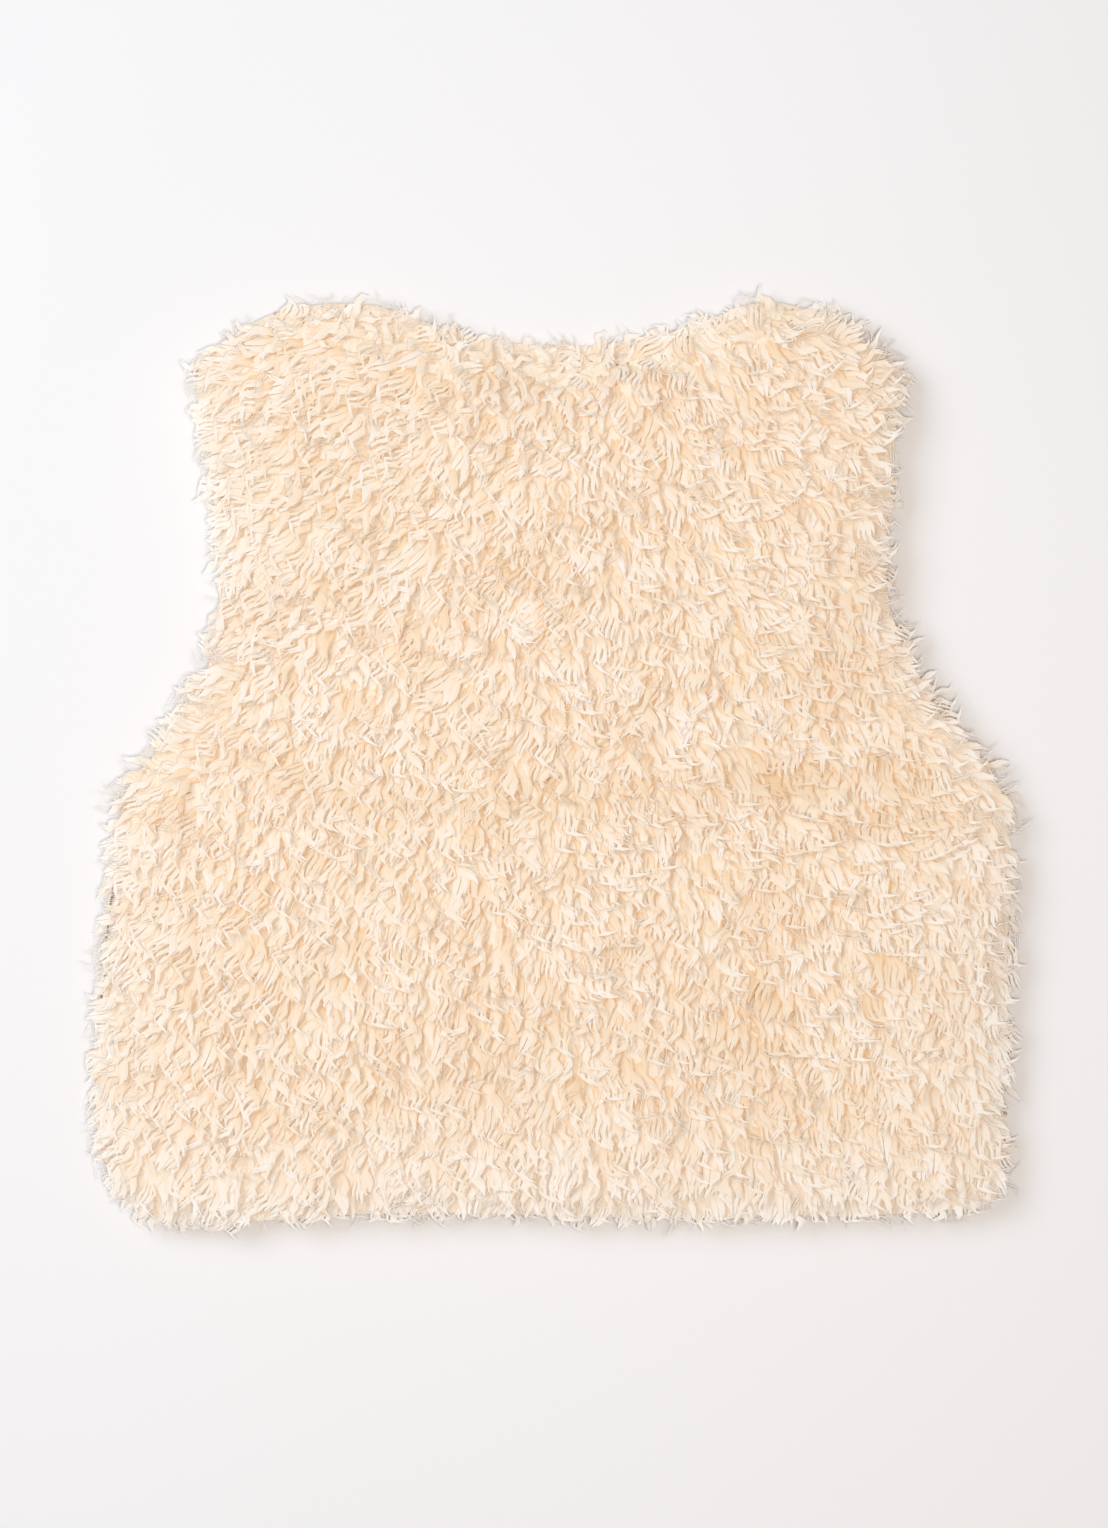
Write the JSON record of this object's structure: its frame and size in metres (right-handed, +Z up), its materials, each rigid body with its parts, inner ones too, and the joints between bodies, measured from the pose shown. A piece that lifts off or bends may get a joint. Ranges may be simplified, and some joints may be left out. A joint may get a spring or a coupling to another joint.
{
  "type": "faux fur vest",
  "caption": "Cropped sleeveless vest in curly faux fur, laid flat with its back up: a back panel over two front panels, open down the front.",
  "frame": {"origin": "centre of the box's underside: on the table, under the middle of the vest", "axes": "+X to the right seen from above, along the hem; +Y from the hem to the neck; +Z up, away from the table, the way the outside of the back faces"},
  "size_m": [0.5056, 0.5108, 0.0351],
  "materials": {
    "back_fur": "curly cream pile of long soft wisps, matt with a faint sheen",
    "front_fur": "the same curly cream pile, pressed flat"
  },
  "bodies": {
    "root": {"back": "back_fur", "front_left": "front_fur", "front_right": "front_fur"}
  },
  "joints": []
}
